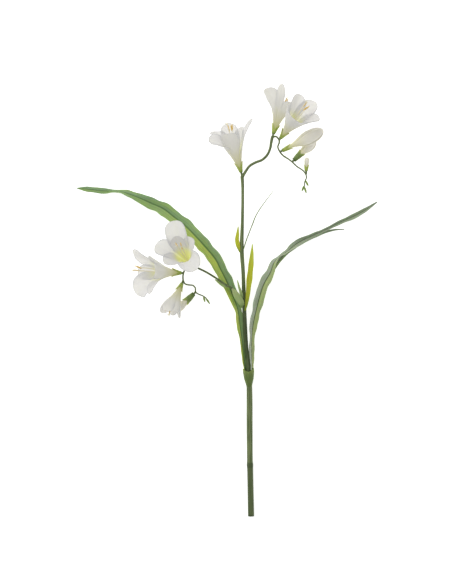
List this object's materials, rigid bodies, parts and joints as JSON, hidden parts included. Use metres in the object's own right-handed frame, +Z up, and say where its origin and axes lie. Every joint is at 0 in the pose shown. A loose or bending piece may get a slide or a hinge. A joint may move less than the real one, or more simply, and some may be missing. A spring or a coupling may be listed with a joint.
{
  "type": "freesia stem",
  "caption": "Cut freesia stem with white trumpet flowers, closed buds and long narrow leaves, laid flat on a table.",
  "frame": {"origin": "on the table, under the centre of the area that the stem covers", "axes": "+Y along the stem from the cut end to the flowers, +X to the right across the leaves, +Z up from the table"},
  "size_m": [0.3021, 0.4329, 0.0665],
  "materials": {
    "stalk": "satin green plant stem",
    "leaf": "satin green leaf",
    "bract": "satin light green bract",
    "yellow_bract": "satin yellow green bract",
    "petal": "soft matt white petal",
    "bud_petal": "soft matt cream bud",
    "stamen": "matt yellow anther"
  },
  "bodies": {
    "root": {"stalk": "stalk", "left_leaf": "leaf", "right_leaf": "leaf", "narrow_leaf": "leaf", "yellow_bract": "yellow_bract", "upper_bract": "yellow_bract", "top_left_petals": "petal", "top_left_bracts": "bract", "top_left_stamens": "stamen", "top_back_petals": "petal", "top_back_bracts": "bract", "top_back_stamens": "stamen", "top_right_petals": "petal", "top_right_bracts": "bract", "top_right_stamens": "stamen", "side_upper_petals": "petal", "side_upper_bracts": "bract", "side_upper_stamens": "stamen", "side_lower_petals": "petal", "side_lower_bracts": "bract", "side_lower_stamens": "stamen", "side_half_open_petals": "petal", "side_half_open_bracts": "bract", "side_half_open_stamens": "stamen", "top_bud_long_petals": "bud_petal", "top_bud_long_bracts": "bract", "top_bud_green_petals": "bud_petal", "top_bud_green_bracts": "bract", "top_bud_small_petals": "bud_petal", "top_bud_small_bracts": "bract", "side_bud_green_petals": "bud_petal", "side_bud_green_bracts": "bract"}
  },
  "joints": []
}
